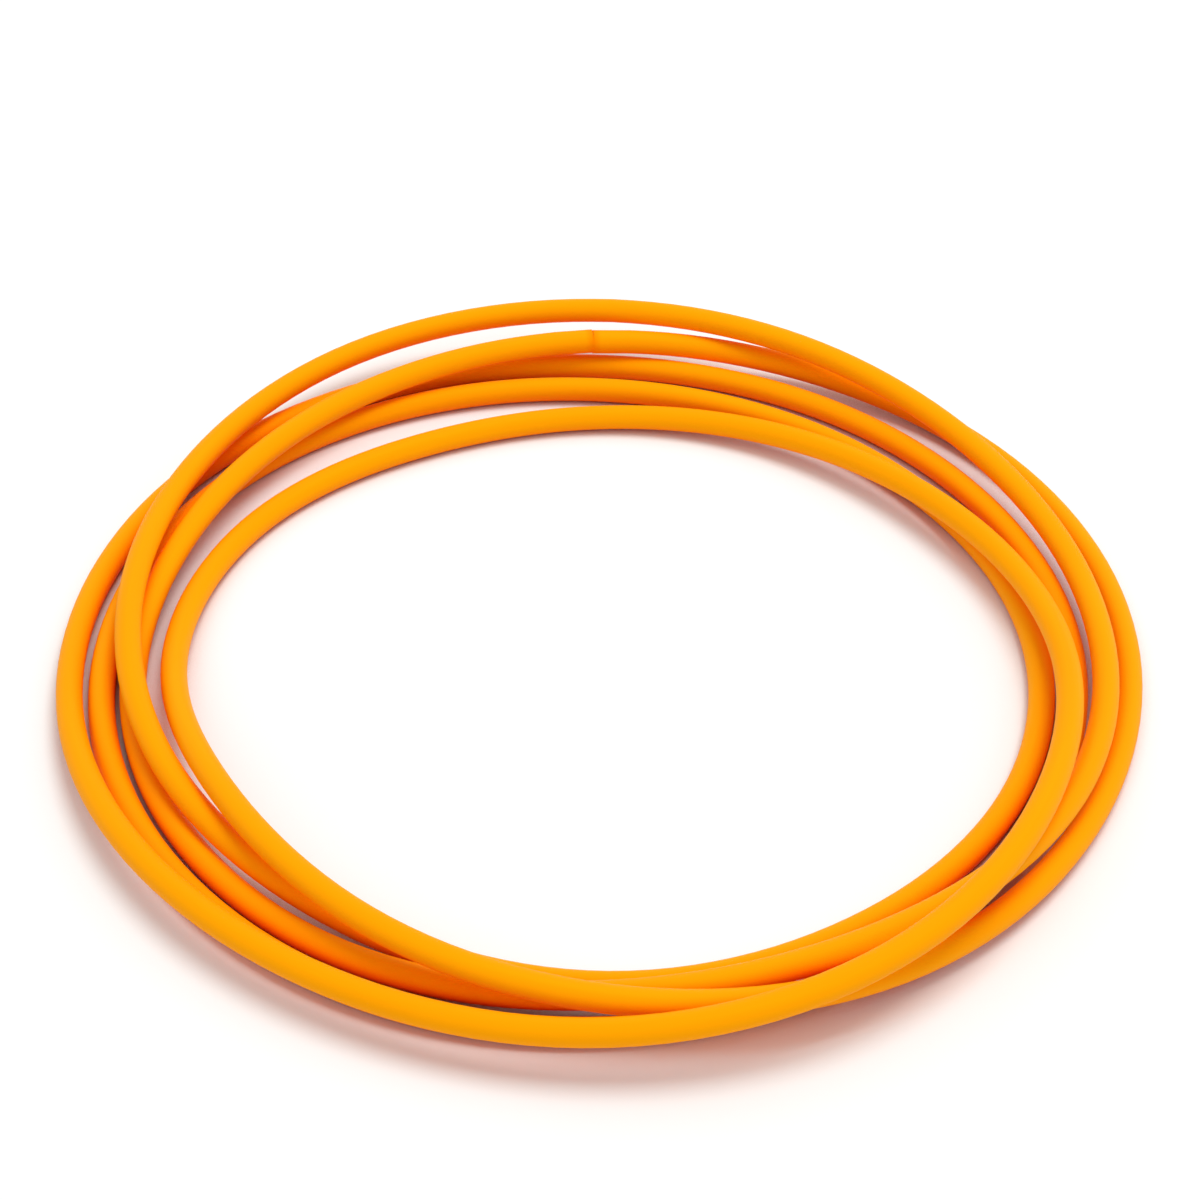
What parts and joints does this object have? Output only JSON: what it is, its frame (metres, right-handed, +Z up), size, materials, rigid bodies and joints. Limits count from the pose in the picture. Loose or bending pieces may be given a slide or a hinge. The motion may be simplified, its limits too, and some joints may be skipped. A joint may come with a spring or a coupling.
{
  "type": "fiber optic patch cord",
  "caption": "Loosely coiled length of smooth round orange fiber optic cable lying flat, its square-cut bare ends facing each other at the back of the coil.",
  "frame": {"origin": "middle of the coil's outline, on the ground that the coil lies on", "axes": "+Z up, through the opening of the coil; +Y towards the back, where the two cut ends face each other; +X to the right as seen from the front"},
  "size_m": [0.1232, 0.1232, 0.0106],
  "materials": {
    "jacket": "matt extruded PVC",
    "yarn": "untwisted aramid filaments",
    "buffer": "smooth extruded",
    "coating": "clear acrylate",
    "fiber": "polished silica"
  },
  "bodies": {
    "root": {"outer_jacket": "jacket", "aramid_yarn_1": "yarn", "aramid_yarn_2": "yarn", "aramid_yarn_3": "yarn", "aramid_yarn_4": "yarn", "aramid_yarn_5": "yarn", "aramid_yarn_6": "yarn", "tight_buffer": "buffer", "fiber_coating": "coating", "glass_fiber": "fiber"}
  },
  "joints": []
}
